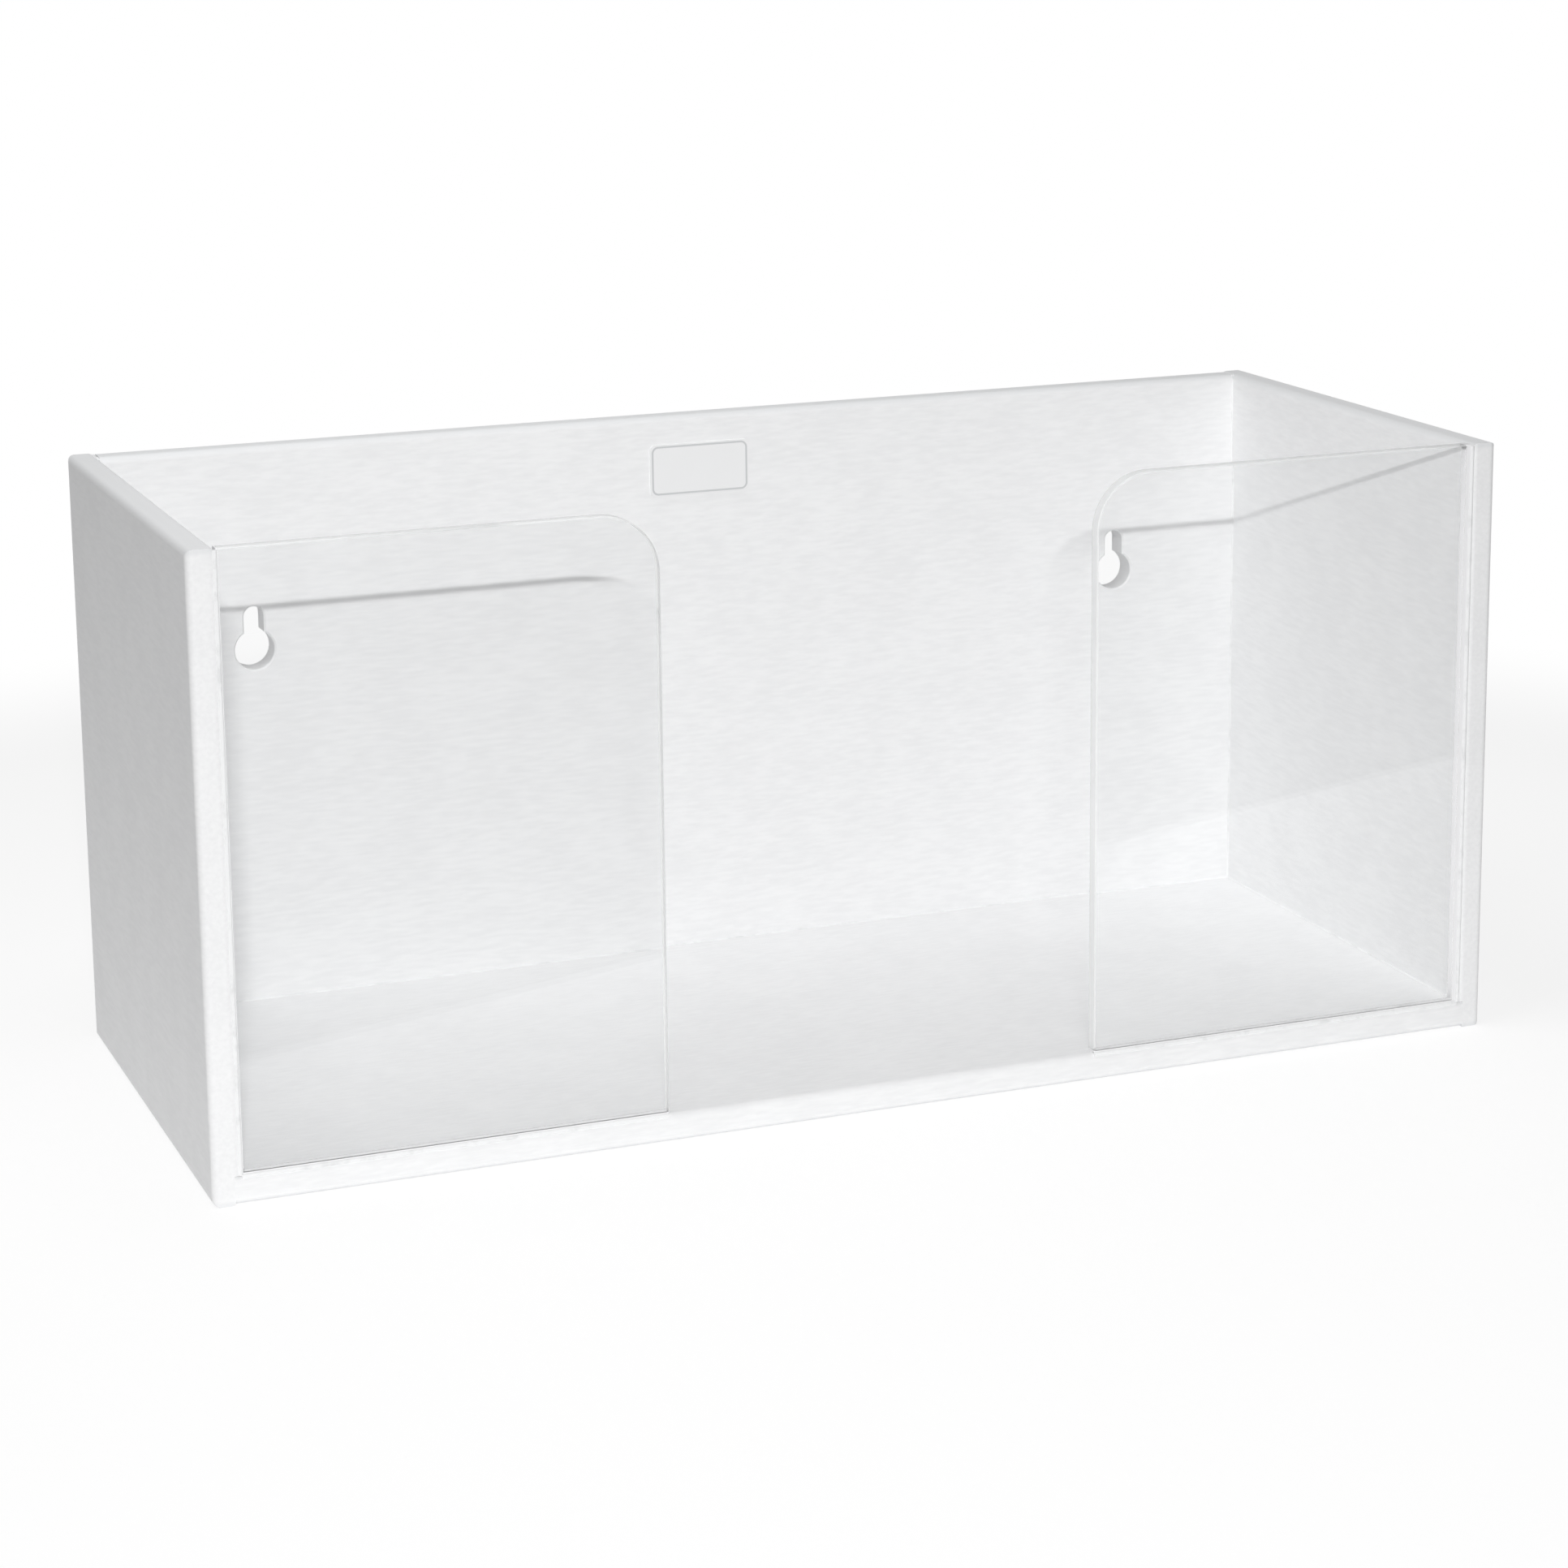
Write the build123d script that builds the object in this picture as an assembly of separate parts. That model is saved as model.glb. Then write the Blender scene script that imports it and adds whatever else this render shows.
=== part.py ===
from build123d import *
import os

# Open-topped glove dispenser of cemented white sheet with two clear front windows.
# The frame: X across the width, Y from front (minus) to back (plus), Z up.
# The origin lies on the ground, under the middle of the box.

# Outside size of the box, in millimetres
box_width = 305.0
box_depth = 122.0
box_height = 140.0

# White sheet: one stock for the sides, the back and the floor
sheet_thickness = 6.35
edge_radius = 1.6
rebate_depth = 1.6

# Clear sheet of the front windows
window_thickness = 3.2
window_setback = 0.4
window_drop = 0.2
window_corner_radius = 13.0
window_bevel = 0.3
hand_gap = 102.5

# Keyholes in the back panel, hung from its top edge
keyhole_spacing = 224.0
keyhole_drop = 48.2
keyhole_diameter = 9.5
slot_width = 4.8
slot_rise = 8.0
keyhole_bevel = 0.4

# Plain plate on the back panel, set out from its top edge
label_width = 25.4
label_height = 12.7
label_thickness = 0.5
label_corner_radius = 1.2
label_drop = 13.3

# Places that follow from the sizes above
outer_x = box_width / 2
inner_x = outer_x - sheet_thickness
front_y = -box_depth / 2
rear_y = box_depth / 2
back_face_y = rear_y - sheet_thickness
floor_top = sheet_thickness
window_front_y = front_y + window_setback
window_top = box_height - window_drop
gap_edge_x = hand_gap / 2
keyhole_height = box_height - keyhole_drop
label_centre_height = box_height - label_drop


def block(low, high):
    """A plain block between two corners."""
    size = [b - a for a, b in zip(low, high)]
    middle = [(a + b) / 2 for a, b in zip(low, high)]
    return Pos(*middle) * Box(*size)


def edges_where(solid, test):
    """The edges of a solid whose middle point passes the test."""
    return [e for e in solid.edges() if test(e.center())]


def near(a, b):
    return abs(a - b) < 1e-4


def side_panel():
    """The right side: eased all round outside and on its inner top and front edges, rebated for the floor."""
    panel = block((inner_x, front_y, 0), (outer_x, rear_y, box_height))
    outline = edges_where(panel, lambda c: near(c.X, outer_x))
    inner_top = edges_where(panel, lambda c: near(c.X, inner_x) and near(c.Z, box_height))
    inner_front = edges_where(panel, lambda c: near(c.X, inner_x) and near(c.Y, front_y))
    panel = fillet(outline + inner_top + inner_front, edge_radius)
    rebate = block((inner_x, front_y, 0), (inner_x + rebate_depth, rear_y, floor_top))
    return panel - rebate


def floor_panel():
    """The floor runs the whole depth, with its two ends in the sides' rebates."""
    end_x = inner_x + rebate_depth
    panel = block((-end_x, front_y, 0), (end_x, rear_y, floor_top))
    long_edges = edges_where(panel, lambda c: near(c.Y, front_y) and near(c.X, 0))
    rear_edge = edges_where(panel, lambda c: near(c.Y, rear_y) and near(c.Z, 0))
    return fillet(long_edges + rear_edge, edge_radius)


def keyhole(x):
    """The outline of one keyhole, cut through the back along Y: a round with a slot rising from it."""
    with BuildSketch(Plane((x, rear_y, keyhole_height), x_dir=(1, 0, 0), z_dir=(0, -1, 0))) as outline:
        Circle(keyhole_diameter / 2)
        with Locations((0, slot_rise / 2)):
            Rectangle(slot_width, slot_rise)
        with Locations((0, slot_rise)):
            Circle(slot_width / 2)
    return extrude(outline.sketch, sheet_thickness)


def back_panel():
    """The back stands on the floor between the sides, with two keyholes and both top edges eased."""
    panel = block((-inner_x, back_face_y, floor_top), (inner_x, rear_y, box_height))
    top_edges = edges_where(panel, lambda c: near(c.Z, box_height) and near(c.X, 0))
    panel = fillet(top_edges, edge_radius)
    for x in (-keyhole_spacing / 2, keyhole_spacing / 2):
        panel = panel - keyhole(x)
    rims = edges_where(panel, lambda c: is_keyhole_rim(c))
    return chamfer(rims, keyhole_bevel)


def is_keyhole_rim(centre):
    """True for the middle of an edge that lies on a keyhole's mouth, front or rear."""
    on_a_face = near(centre.Y, back_face_y) or near(centre.Y, rear_y)
    beside = abs(abs(centre.X) - keyhole_spacing / 2) < keyhole_diameter
    level = abs(centre.Z - keyhole_height) < slot_rise + keyhole_diameter
    return on_a_face and beside and level


def window():
    """The right window: clear sheet from the hand gap to the side, its free upper corner rounded."""
    with BuildSketch(Plane((0, window_front_y, 0), x_dir=(1, 0, 0), z_dir=(0, -1, 0))) as outline:
        with Locations(((gap_edge_x + inner_x) / 2, (floor_top + window_top) / 2)):
            Rectangle(inner_x - gap_edge_x, window_top - floor_top)
        free_corners = outline.vertices().sort_by(Axis.X)[:2]
        fillet(free_corners.sort_by(Axis.Y)[-1], window_corner_radius)
    pane = extrude(outline.sketch, -window_thickness)
    free_edges = edges_where(pane, lambda c: is_free_window_edge(c))
    return chamfer(free_edges, window_bevel)


def is_free_window_edge(centre):
    """True for the middle of a window edge along its free side, its rounded corner or its top."""
    on_a_face = near(centre.Y, window_front_y) or near(centre.Y, window_front_y + window_thickness)
    glued = near(centre.X, inner_x) or near(centre.Z, floor_top)
    return on_a_face and not glued


def label_plate():
    """A thin plate with rounded corners, stuck on the back panel behind the hand gap."""
    with BuildSketch(Plane((0, back_face_y, label_centre_height), x_dir=(1, 0, 0), z_dir=(0, -1, 0))) as outline:
        RectangleRounded(label_width, label_height, label_corner_radius)
    return extrude(outline.sketch, label_thickness)


right_side = side_panel()
right_window = window()

nodes = {
    "left_side": mirror(right_side, Plane.YZ),
    "right_side": right_side,
    "back_panel": back_panel(),
    "floor_panel": floor_panel(),
    "left_window": mirror(right_window, Plane.YZ),
    "right_window": right_window,
    "label_plate": label_plate(),
}

os.makedirs("parts", exist_ok=True)
for name, solid in nodes.items():
    export_step(solid, f"parts/{name}.step")
    print(name, round(solid.volume, 1))
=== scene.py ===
import math

import bpy
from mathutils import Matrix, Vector


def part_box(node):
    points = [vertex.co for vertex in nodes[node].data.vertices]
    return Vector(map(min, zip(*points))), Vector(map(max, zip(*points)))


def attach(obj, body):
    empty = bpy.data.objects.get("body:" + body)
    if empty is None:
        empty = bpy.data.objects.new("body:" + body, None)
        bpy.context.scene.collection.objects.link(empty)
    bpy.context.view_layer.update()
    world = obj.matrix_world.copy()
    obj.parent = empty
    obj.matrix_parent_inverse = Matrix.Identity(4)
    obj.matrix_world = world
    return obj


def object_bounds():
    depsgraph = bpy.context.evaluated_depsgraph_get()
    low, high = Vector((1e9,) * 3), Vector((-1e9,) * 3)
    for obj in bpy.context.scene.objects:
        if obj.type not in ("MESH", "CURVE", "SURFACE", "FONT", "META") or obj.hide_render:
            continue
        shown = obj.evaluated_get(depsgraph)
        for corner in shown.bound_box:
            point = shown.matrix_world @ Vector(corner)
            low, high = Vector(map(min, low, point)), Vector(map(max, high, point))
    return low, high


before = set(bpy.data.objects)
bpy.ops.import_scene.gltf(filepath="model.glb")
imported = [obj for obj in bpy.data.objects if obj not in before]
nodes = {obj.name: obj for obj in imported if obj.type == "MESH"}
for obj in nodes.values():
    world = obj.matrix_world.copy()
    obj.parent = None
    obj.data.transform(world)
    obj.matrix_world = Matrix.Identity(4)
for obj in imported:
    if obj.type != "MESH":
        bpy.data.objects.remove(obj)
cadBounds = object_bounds()
mm = 0.001
print("frame loaded:", ", ".join(sorted(nodes)))


class Signal:  # one node's output; arithmetic on it adds Math nodes to the same tree
    def __init__(self, tree, socket):
        self.tree = tree
        self.socket = socket

    def maths(self, operation, *others):
        values = dict(enumerate((self, *others)))
        return self.tree.node("ShaderNodeMath", {"operation": operation}, values)["Value"]

    def __add__(self, other):
        return self.maths("ADD", other)

    def __sub__(self, other):
        return self.maths("SUBTRACT", other)

    def __rsub__(self, other):
        return (self * -1.0) + other

    def __mul__(self, other):
        return self.maths("MULTIPLY", other)

    __radd__ = __add__
    __rmul__ = __mul__

    def size(self):  # the value without its sign
        return self.maths("ABSOLUTE")

    def below(self, limit):  # 1 where the value is under the limit, else 0
        return self.maths("LESS_THAN", limit)

    def largest(self, other):
        return self.maths("MAXIMUM", other)


class Built:  # a node that has been added; its outputs are read by name or number
    def __init__(self, tree, made):
        self.tree = tree
        self.made = made

    def __getitem__(self, name):
        return Signal(self.tree, self.made.outputs[name])


class Tree:  # a shader or geometry tree that is written as calls
    def __init__(self, nodeTree):
        self.nodeTree = nodeTree
        self.nodeTree.nodes.clear()

    def node(self, kind, settings=None, values=None):
        made = self.nodeTree.nodes.new(kind)
        for name, setting in (settings or {}).items():
            setattr(made, name, setting)
        for name, value in (values or {}).items():
            socket = made.inputs[name]
            if isinstance(value, Signal):
                self.nodeTree.links.new(value.socket, socket)
            elif socket.type == "RGBA":
                socket.default_value = (*value, 1.0)
            else:
                socket.default_value = value
        return Built(self, made)

    def smooth(self, signal, low, high):  # 0 below low, 1 above high, eased between
        settings = {"interpolation_type": "SMOOTHSTEP"}
        values = {"Value": signal, "From Min": low, "From Max": high}
        return self.node("ShaderNodeMapRange", settings, values)["Result"]

    def tint(self, factor, low, high):  # a colour between two colours
        return self.node("ShaderNodeMix", {"data_type": "RGBA"}, {0: factor, 6: low, 7: high})[2]

    def noise(self, place, scale, detail=2.0, roughness=0.5):
        values = {"Vector": place, "Scale": scale, "Detail": detail, "Roughness": roughness}
        return self.node("ShaderNodeTexNoise", None, values)["Fac"]

    def stretched(self, place, lengths):  # the same place with each axis divided by its own length
        scale = tuple(1.0 / length for length in lengths)
        return self.node("ShaderNodeMapping", None, {"Vector": place, "Scale": scale})["Vector"]

    def place(self):  # the point in the object's own metres
        return self.node("ShaderNodeTexCoord")["Object"]

    def split(self, vector):
        return self.node("ShaderNodeSeparateXYZ", None, {"Vector": vector})

    def matt(self, colour):
        return self.node("ShaderNodeBsdfDiffuse", None, {"Color": colour})["BSDF"]

    def seeThrough(self, colour):
        return self.node("ShaderNodeBsdfTransparent", None, {"Color": colour})["BSDF"]

    def finish(self, values):
        return self.node("ShaderNodeBsdfPrincipled", None, values)["BSDF"]

    def glowing(self, strength):
        return self.node("ShaderNodeEmission", None, {"Strength": strength})["Emission"]

    def mixed(self, factor, first, second):
        return self.node("ShaderNodeMixShader", None, {0: factor, 1: first, 2: second})["Shader"]

    def added(self, first, second):
        return self.node("ShaderNodeAddShader", None, {0: first, 1: second})["Shader"]

    def surface(self, shader):
        self.node("ShaderNodeOutputMaterial", None, {"Surface": shader})


def newMaterial(name):
    material = bpy.data.materials.new(name)
    material.use_nodes = True
    return material, Tree(material.node_tree)


def dress(node, material):
    node.data.materials.clear()
    node.data.materials.append(material)


def addObject(name, data):
    made = bpy.data.objects.new(name, data)
    bpy.context.scene.collection.objects.link(made)
    return made


# White rigid sheet: satin, with the faint streaks of the calender rolls along its length, and painted shade
# on its eased top and foot edges.
whiteSheet = {
    "pale": (0.926, 0.929, 0.933),
    "deep": (0.872, 0.875, 0.881),
    "streakLong": 5.0 * mm,
    "streakShort": 0.9 * mm,
    "streakShare": 0.65,
    "cloud": 14.0 * mm,
    "cloudShare": 0.35,
    "mottle": (0.32, 0.68),
    # painted shade: the greyer tone and its reach on the eased top and foot edges
    "rimTone": (0.80, 0.81, 0.82),
    "rimShare": 0.75,
    "rimBelowTop": (1.7 * mm, 0.4 * mm),
    "rimAboveFoot": (0.2 * mm, 1.4 * mm),
    "roughness": 0.50,
    "roughnessSwing": 0.10,
    "gloss": 0.20,
    "grain": 0.5 * mm,
    "grainDepth": 0.012 * mm,
}


def sheetMaterial(name, longAxis):
    material, tree = newMaterial(name)
    place = tree.place()
    lengths = [whiteSheet["streakShort"]] * 3
    lengths[longAxis] = whiteSheet["streakLong"]
    streaks = tree.noise(tree.stretched(place, lengths), 1.0, detail=3.0, roughness=0.6)
    clouds = tree.noise(place, 1.0 / whiteSheet["cloud"])
    grain = tree.noise(place, 1.0 / whiteSheet["grain"])
    uneven = streaks * whiteSheet["streakShare"] + clouds * whiteSheet["cloudShare"]
    mottle = tree.smooth(uneven, *whiteSheet["mottle"])
    sheet = tree.tint(mottle, whiteSheet["deep"], whiteSheet["pale"])
    relief = {"Height": (streaks + grain) * 0.5, "Distance": whiteSheet["grainDepth"], "Strength": 1.0}
    # the base colour carries painted shade, a greyer tint on the eased top and foot rims
    tree.surface(tree.finish({
        "Base Color": tree.tint(paintedRimShade(tree, place), sheet, whiteSheet["rimTone"]),
        "Roughness": whiteSheet["roughness"] + (streaks - 0.5) * whiteSheet["roughnessSwing"],
        "Specular IOR Level": whiteSheet["gloss"],
        "Normal": tree.node("ShaderNodeBump", None, relief)["Normal"],
    }))
    return material


def paintedRimShade(tree, place):  # painted shade: the eased edges along the top and the foot are painted a little greyer, standing in for the shade they catch
    height = tree.split(place)["Z"]
    boxTop = cadBounds[1][2]
    start, full = whiteSheet["rimBelowTop"]
    top = tree.smooth(height, boxTop - start, boxTop - full)
    foot = 1.0 - tree.smooth(height, *whiteSheet["rimAboveFoot"])
    return top.largest(foot) * whiteSheet["rimShare"]


sheetAcross = sheetMaterial("whiteSheetAcross", 0)
sheetDeep = sheetMaterial("whiteSheetDeep", 1)
for name in ("back_panel", "floor_panel"):
    dress(nodes[name], sheetAcross)
for name in ("left_side", "right_side"):
    dress(nodes[name], sheetDeep)
print("white sheets dressed")


# Clear windows: real refraction through the faces, frosted sawn edges, and white where they are glued.
clearWindow = {
    "colour": (0.995, 0.998, 0.998),
    "index": 1.49,
    "roughness": 0.01,
    "faceTurn": 0.8,
    "facePass": (0.965, 0.965, 0.965),
    "edgePass": (0.03, 0.03, 0.03),
    "uprightShade": 0.25,
    "frost": (0.93, 0.94, 0.94),
    "frostCover": 0.5,
    "joint": (0.90, 0.90, 0.91),
    "jointReach": 0.3 * mm,
    "floorSeam": 0.6 * mm,
    "sideSeam": {"left_window": 0.4 * mm, "right_window": 1.4 * mm},
    "seamFade": (0.8, 1.1),
}


def outerSide(low, high):  # the X of a window's glued upright border
    return low.x if abs(low.x) > abs(high.x) else high.x


def seamBand(tree, distance, width):  # 1 on the cement at a glued border, fading out at its width
    start, end = clearWindow["seamFade"]
    return 1.0 - tree.smooth(distance, width * start, width * end)


def cementedPart(tree, name, edge):  # 1 on the glued edges and on the seams along them
    low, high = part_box(name)
    parts = tree.split(tree.place())
    fromSide = (parts["X"] - outerSide(low, high)).size()
    fromFloor = parts["Z"] - low.z
    reach = clearWindow["jointReach"]
    glued = edge * fromFloor.below(reach).largest(fromSide.below(reach))
    sideSeam = seamBand(tree, fromSide, clearWindow["sideSeam"][name])
    floorSeam = seamBand(tree, fromFloor, clearWindow["floorSeam"])
    return glued.largest(sideSeam).largest(floorSeam)


def windowMaterial(name):
    material, tree = newMaterial(name)
    turned = tree.split(tree.node("ShaderNodeNewGeometry")["True Normal"])
    edge = turned["Y"].size().below(clearWindow["faceTurn"])
    glass = tree.finish({
        "Base Color": clearWindow["colour"],
        "Roughness": clearWindow["roughness"],
        "IOR": clearWindow["index"],
        "Transmission Weight": 1.0,
    })
    clear = tree.seeThrough((1.0, 1.0, 1.0))
    sawn = tree.mixed(clearWindow["frostCover"], clear, tree.matt(clearWindow["frost"]))
    openPart = tree.mixed(edge, glass, sawn)
    seen = tree.mixed(cementedPart(tree, name, edge), openPart, tree.matt(clearWindow["joint"]))
    upright = clearWindow["uprightShade"]
    shade = edge * (turned["Z"].size() * (1.0 - upright) + upright)
    face, rim = tree.seeThrough(clearWindow["facePass"]), tree.seeThrough(clearWindow["edgePass"])
    lightPath = tree.node("ShaderNodeLightPath")
    unseen = lightPath["Is Shadow Ray"].largest(lightPath["Is Diffuse Ray"])
    tree.surface(tree.mixed(unseen, seen, tree.mixed(shade, face, rim)))
    return material


for name in ("left_window", "right_window"):
    dress(nodes[name], windowMaterial(name))
print("windows dressed")


# Cement: thin uneven beads along the joints, fuller where the panes meet the rounded front edges.
cement = {
    "pale": (0.90, 0.905, 0.91),
    "deep": (0.80, 0.805, 0.81),
    "patch": 4.0 * mm,
    "patchRange": (0.30, 0.52),
    "roughness": 0.45,
    "roughnessRise": 0.15,
    "frontRadius": 0.55 * mm,
    "frontWaviness": 0.12,
    "innerRadius": 0.30 * mm,
    "innerWaviness": 0.35,
    "lump": 2.5 * mm,
    "step": 1.2 * mm,
    "sides": 10,
    "seed": 7.0,
    "intoJoint": 0.25 * mm,
    "behindFace": 0.15 * mm,
    "underTop": 0.3 * mm,
    "cornerDrop": 0.4 * mm,
    "cornerEnds": (0.8 * mm, 1.0 * mm),
    "innerUnderTop": 1.0 * mm,
    "rearUnderTop": 2.0 * mm,
}


def cementMaterial():
    material, tree = newMaterial("cement")
    mottle = tree.noise(tree.place(), 1.0 / cement["patch"], detail=3.0, roughness=0.6)
    patches = tree.smooth(mottle, *cement["patchRange"])
    tree.surface(tree.finish({
        "Base Color": tree.tint(patches, cement["deep"], cement["pale"]),
        "Roughness": cement["roughness"] + patches * cement["roughnessRise"],
    }))
    return material


def beadTree():
    group = bpy.data.node_groups.new("cementBead", "GeometryNodeTree")
    sockets = (
        ("Joints", "INPUT", "NodeSocketGeometry"),
        ("Radius", "INPUT", "NodeSocketFloat"),
        ("Waviness", "INPUT", "NodeSocketFloat"),
        ("Lump", "INPUT", "NodeSocketFloat"),
        ("Step", "INPUT", "NodeSocketFloat"),
        ("Sides", "INPUT", "NodeSocketInt"),
        ("Seed", "INPUT", "NodeSocketFloat"),
        ("Material", "INPUT", "NodeSocketMaterial"),
        ("Beads", "OUTPUT", "NodeSocketGeometry"),
    )
    for name, side, kind in sockets:
        group.interface.new_socket(name=name, in_out=side, socket_type=kind)
    tree = Tree(group)
    given = tree.node("NodeGroupInput")
    lines = tree.node("GeometryNodeMeshToCurve", None, {"Mesh": given["Joints"]})["Curve"]
    values = {"Curve": lines, "Length": given["Step"]}
    fine = tree.node("GeometryNodeResampleCurve", {"mode": "LENGTH"}, values)["Curve"]
    values = {
        "Vector": tree.node("GeometryNodeInputPosition")["Position"],
        "W": given["Seed"],
        "Scale": given["Lump"].maths("POWER", -1.0),
        "Detail": 2.0,
    }
    swell = tree.node("ShaderNodeTexNoise", {"noise_dimensions": "4D"}, values)["Fac"]
    share = (swell - 0.5) * 2.0 * given["Waviness"] + 1.0
    values = {"Resolution": given["Sides"], "Radius": 1.0}
    outline = tree.node("GeometryNodeCurvePrimitiveCircle", None, values)["Curve"]
    values = {"Curve": fine, "Profile Curve": outline, "Scale": share * given["Radius"], "Fill Caps": True}
    tube = tree.node("GeometryNodeCurveToMesh", None, values)["Mesh"]
    whole = tree.node("GeometryNodeRealizeInstances", None, {"Geometry": tube})["Geometry"]
    values = {"Geometry": whole, "Material": given["Material"]}
    done = tree.node("GeometryNodeSetMaterial", None, values)["Geometry"]
    tree.node("NodeGroupOutput", None, {"Beads": done})
    return group


def layBeads(name, group, lines, radius, waviness, material):
    points = [point for line in lines for point in line]
    edges = [(index, index + 1) for index in range(0, len(points), 2)]
    mesh = bpy.data.meshes.new(name + "Lines")
    mesh.from_pydata(points, edges, [])
    beads = addObject(name, mesh)
    modifier = beads.modifiers.new("bead", "NODES")
    modifier.node_group = group
    wanted = {
        "Radius": radius,
        "Waviness": waviness,
        "Lump": cement["lump"],
        "Step": cement["step"],
        "Sides": cement["sides"],
        "Seed": cement["seed"],
        "Material": material,
    }
    for socket in group.interface.items_tree:
        if socket.in_out == "INPUT" and socket.name in wanted:
            modifier[socket.identifier] = wanted[socket.name]
    ready = beads.evaluated_get(bpy.context.evaluated_depsgraph_get())
    plain = bpy.data.meshes.new_from_object(ready)
    beads.modifiers.remove(modifier)
    beads.data = plain
    for face in plain.polygons:
        face.use_smooth = True
    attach(beads, "root")
    print(name, "laid:", len(plain.polygons), "faces")


def frontLines(low, high, backLow, backHigh):  # a window's foot, its upright border, and the rear top corner
    outer = outerSide(low, high)
    free = high.x if outer == low.x else low.x
    out = math.copysign(cement["intoJoint"], outer)
    faceY = low.y + cement["behindFace"]
    footZ = low.z - cement["intoJoint"]
    sideTop = high.z - cement["underTop"]
    cornerX, cornerZ = outer + out * 2.0, high.z - cement["cornerDrop"]
    cornerFront, cornerRear = cement["cornerEnds"]
    return [
        ((free, faceY, footZ), (outer, faceY, footZ)),
        ((outer + out, faceY, low.z), (outer + out, faceY, sideTop)),
        ((cornerX, backLow.y + cornerFront, cornerZ), (cornerX, backHigh.y - cornerRear, cornerZ)),
    ]


def innerLines(low, high, backLow):  # behind a window's foot and border, then along the floor and up the back
    outer = outerSide(low, high)
    free = high.x if outer == low.x else low.x
    near, rear = (outer, high.y, low.z), (outer, backLow.y, low.z)
    return [
        ((free, high.y, low.z), near),
        (near, (outer, high.y, high.z - cement["innerUnderTop"])),
        (near, rear),
        (rear, (outer, backLow.y, high.z - cement["rearUnderTop"])),
    ]


def addCement():
    group = beadTree()
    material = cementMaterial()
    backLow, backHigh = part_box("back_panel")
    front, inner = [], []
    for name in ("left_window", "right_window"):
        low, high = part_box(name)
        front += frontLines(low, high, backLow, backHigh)
        inner += innerLines(low, high, backLow)
    inner.append(((backLow.x, backLow.y, backLow.z), (backHigh.x, backLow.y, backLow.z)))
    layBeads("cement_front", group, front, cement["frontRadius"], cement["frontWaviness"], material)
    layBeads("cement_inside", group, inner, cement["innerRadius"], cement["innerWaviness"], material)


addCement()
print("cement beads laid")


# Plain plate: smooth and pale, with a thin grey line round its rim.
plate = {
    "face": (0.895, 0.898, 0.902),
    "line": (0.62, 0.63, 0.64),
    "lineInset": 0.35 * mm,
    "lineWidth": 0.45 * mm,
    "lineFade": (0.35, 0.65),
    "corner": 2.0 * mm,
    "roughness": 0.3,
    "roughnessSwing": 0.08,
    "grain": 1.5 * mm,
    "index": 1.5,
}


def plateMaterial():
    material, tree = newMaterial("plainPlate")
    low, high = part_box("label_plate")
    middle = (low + high) / 2
    straightX = (high.x - low.x) / 2 - plate["corner"]
    straightZ = (high.z - low.z) / 2 - plate["corner"]
    place = tree.place()
    parts = tree.split(place)
    overX = ((parts["X"] - middle.x).size() - straightX).largest(0.0)
    overZ = ((parts["Z"] - middle.z).size() - straightZ).largest(0.0)
    fromRim = plate["corner"] - (overX * overX + overZ * overZ).maths("SQRT")
    offLine = (fromRim - (plate["lineInset"] + plate["lineWidth"] / 2)).size()
    start, end = plate["lineFade"]
    line = 1.0 - tree.smooth(offLine, plate["lineWidth"] * start, plate["lineWidth"] * end)
    grain = tree.noise(place, 1.0 / plate["grain"])
    tree.surface(tree.finish({
        "Base Color": tree.tint(line, plate["face"], plate["line"]),
        "Roughness": plate["roughness"] + grain * plate["roughnessSwing"],
        "IOR": plate["index"],
    }))
    return material


dress(nodes["label_plate"], plateMaterial())
print("plate dressed")


# Camera at the photograph's viewing angle. The lens looks a little below the picture's middle.
cameraSetup = {
    "place": (-0.31216, -0.79847, 0.28835),
    "turn": (77.994, 0.585, -21.506),
    "lens": 86.89,
    "sensor": 36.0,
    "shiftY": -0.1217,
    "nearest": 0.01,
}


def addCamera():
    data = bpy.data.cameras.new("camera")
    data.sensor_width = cameraSetup["sensor"]
    data.lens = cameraSetup["lens"]
    data.shift_y = cameraSetup["shiftY"]
    data.clip_start = cameraSetup["nearest"]
    camera = addObject("camera", data)
    camera.location = cameraSetup["place"]
    camera.rotation_euler = [math.radians(angle) for angle in cameraSetup["turn"]]
    bpy.context.scene.camera = camera


addCamera()
print("camera placed")


# Light: a small wide flash above and behind the lens, one soft lamp overhead, and a dim room.
studio = {
    "flashPlace": (-0.3845, -1.119, 0.491),
    "flashSize": (0.092, 0.006),
    "flashPower": 7.61,
    "topPlace": (-0.12, -0.04, 0.62),
    "topSize": (0.30, 0.30),
    "topPower": 1.07,
    "aim": (0.0, 0.0, 0.07),
    "room": 0.234,
}


def addLamp(name, place, size, power):
    data = bpy.data.lights.new(name, "AREA")
    data.shape = "RECTANGLE"
    data.size, data.size_y = size
    data.energy = power
    lamp = addObject(name, data)
    lamp.location = place
    direction = Vector(studio["aim"]) - Vector(place)
    lamp.rotation_euler = direction.to_track_quat("-Z", "Y").to_euler()


def seenRay(tree):  # 1 for what the camera sees, straight, mirrored or through the windows
    lightPath = tree.node("ShaderNodeLightPath")
    mirrored = lightPath["Is Camera Ray"].largest(lightPath["Is Glossy Ray"])
    return mirrored.largest(lightPath["Is Transmission Ray"])


def setRoom():
    world = bpy.data.worlds.new("room")
    world.use_nodes = True
    tree = Tree(world.node_tree)
    level = seenRay(tree) * (1.0 - studio["room"]) + studio["room"]
    values = {"Color": (1.0, 1.0, 1.0), "Strength": level}
    room = tree.node("ShaderNodeBackground", None, values)["Background"]
    tree.node("ShaderNodeOutputWorld", None, {"Surface": room})
    bpy.context.scene.world = world


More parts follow.
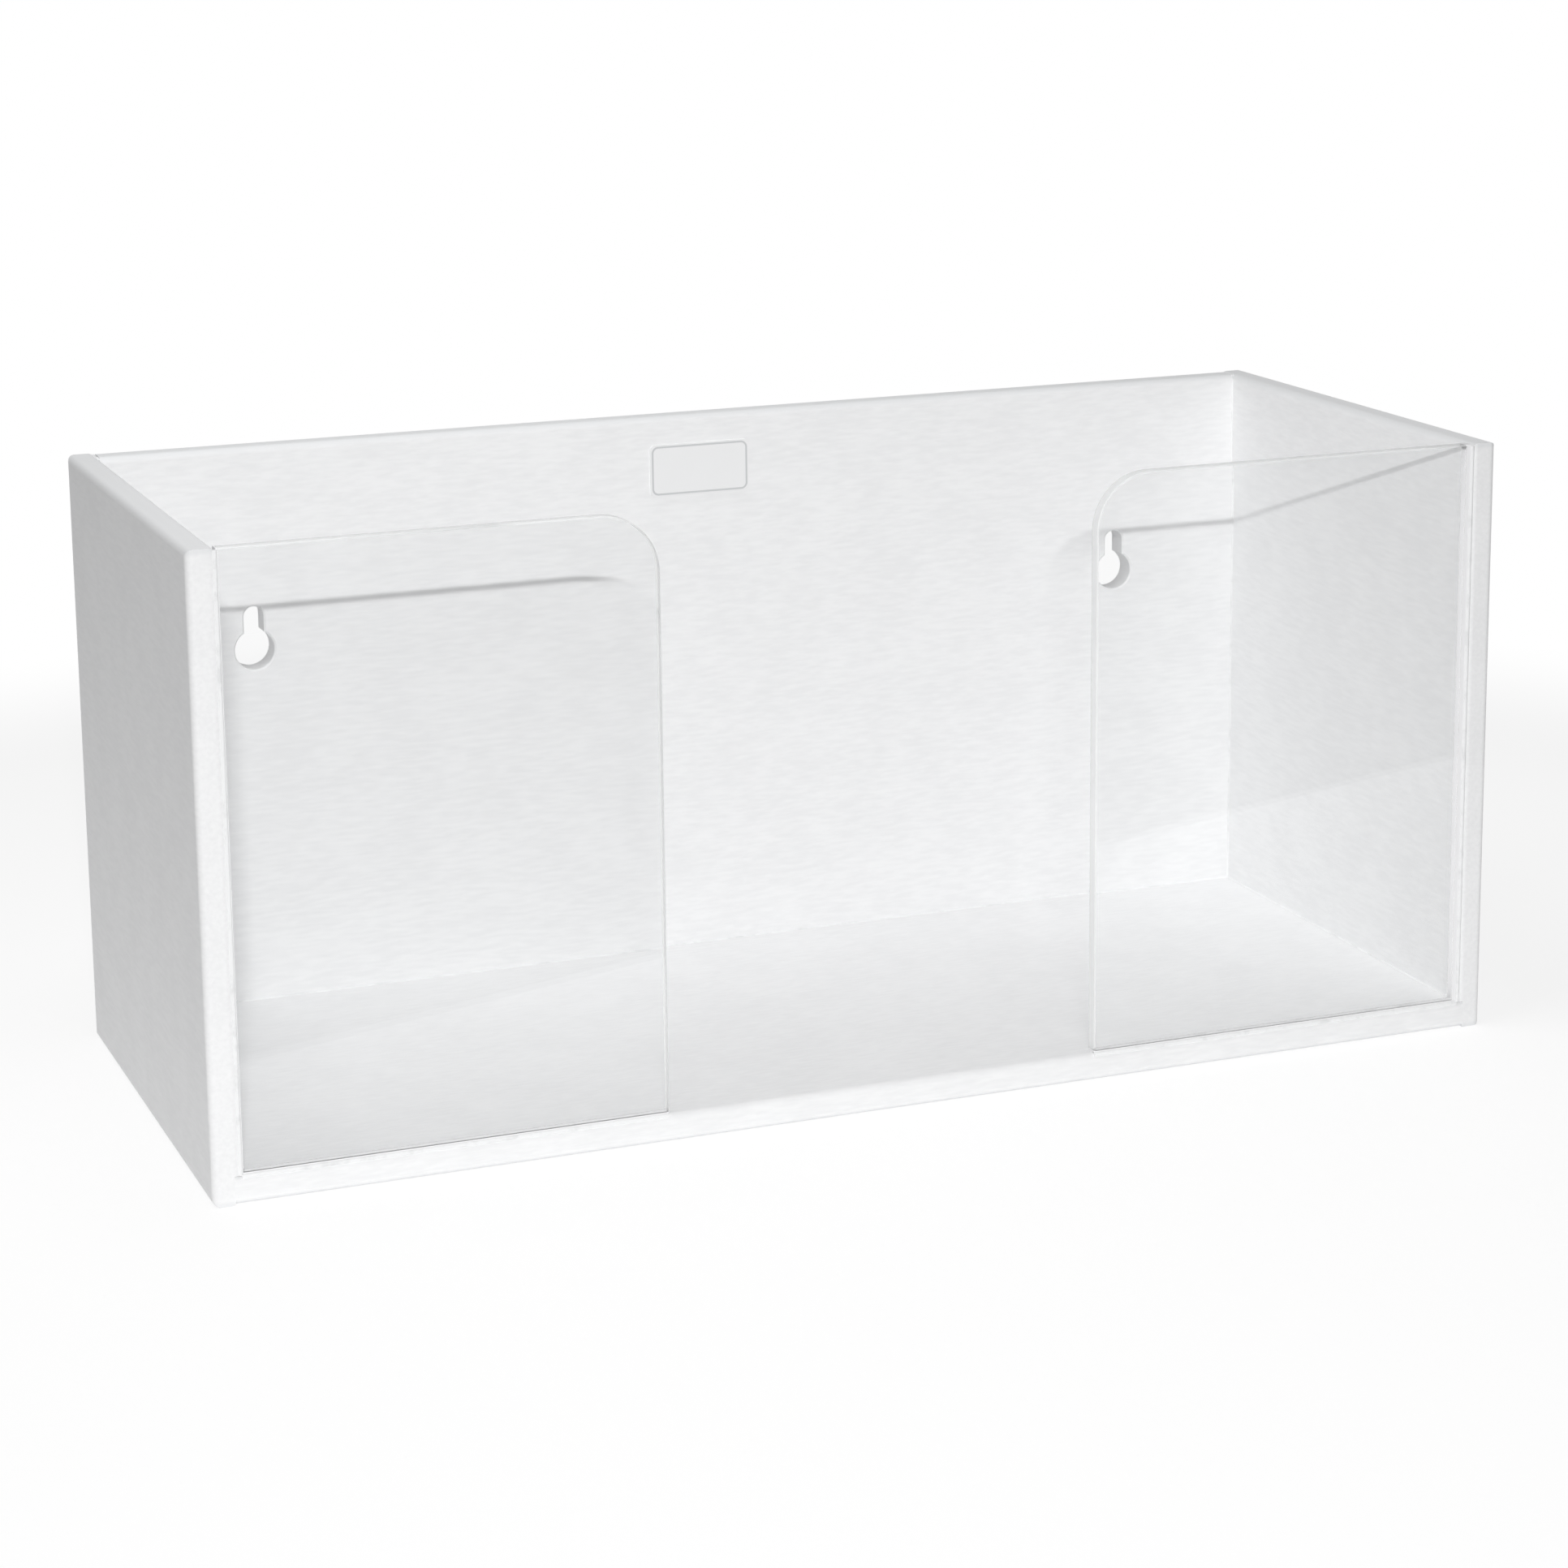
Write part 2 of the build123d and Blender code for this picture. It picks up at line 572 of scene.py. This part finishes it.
addLamp("flash", studio["flashPlace"], studio["flashSize"], studio["flashPower"])
addLamp("topLamp", studio["topPlace"], studio["topSize"], studio["topPower"])
setRoom()
print("lamps and room set")


# Floor: a pale table that throws light back up; the camera sees it white, with the shadow kept.
table = {
    "reach": 2.0,
    "paleRadius": 0.34,
    "fade": 0.14,
    "pale": (0.90, 0.90, 0.90),
    "dark": (0.25, 0.25, 0.25),
    "glow": 0.186,
    "shadowShare": 0.30,
    "litLevel": 0.80,
    "paperTurn": 18.0,
    "paperFront": 180.0 * mm,
    "paperSoft": 0.5 * mm,
    "desk": 0.38,
}


def thrownLight(tree, far):  # what the table gives to the object: paper that glows a little near it
    paper = tree.matt(tree.tint(far, table["pale"], table["dark"]))
    return tree.mixed(far, tree.added(paper, tree.glowing(table["glow"])), paper)


def seenTable(tree, place, far):  # white, with the shadow near the object; mirrors also show the desk
    share = table["shadowShare"]
    near = tree.added(tree.matt((share, share, share)), tree.glowing(1.0 - share * table["litLevel"]))
    white = tree.mixed(far, near, tree.glowing(1.0))
    turn = math.radians(table["paperTurn"])
    parts = tree.split(place)
    toFront = parts["X"] * -math.sin(turn) + parts["Y"] * -math.cos(turn)
    start, end = table["paperFront"] - table["paperSoft"], table["paperFront"] + table["paperSoft"]
    onDesk = tree.smooth(toFront, start, end) * tree.node("ShaderNodeLightPath")["Is Glossy Ray"]
    return tree.mixed(onDesk, white, tree.glowing(table["desk"]))


def tableMaterial():
    material, tree = newMaterial("paleTable")
    place = tree.place()
    distance = tree.node("ShaderNodeVectorMath", {"operation": "LENGTH"}, {0: place})["Value"]
    far = tree.smooth(distance, table["paleRadius"], table["paleRadius"] + table["fade"])
    tree.surface(tree.mixed(seenRay(tree), thrownLight(tree, far), seenTable(tree, place, far)))
    return material


def addTable():
    reach = table["reach"]
    corners = [(-reach, -reach, 0.0), (reach, -reach, 0.0), (reach, reach, 0.0), (-reach, reach, 0.0)]
    mesh = bpy.data.meshes.new("table")
    mesh.from_pydata(corners, [], [(0, 1, 2, 3)])
    mesh.materials.append(tableMaterial())
    floor = addObject("table", mesh)


addTable()
print("table laid")

scene = bpy.context.scene
scene.view_settings.view_transform = "Standard"
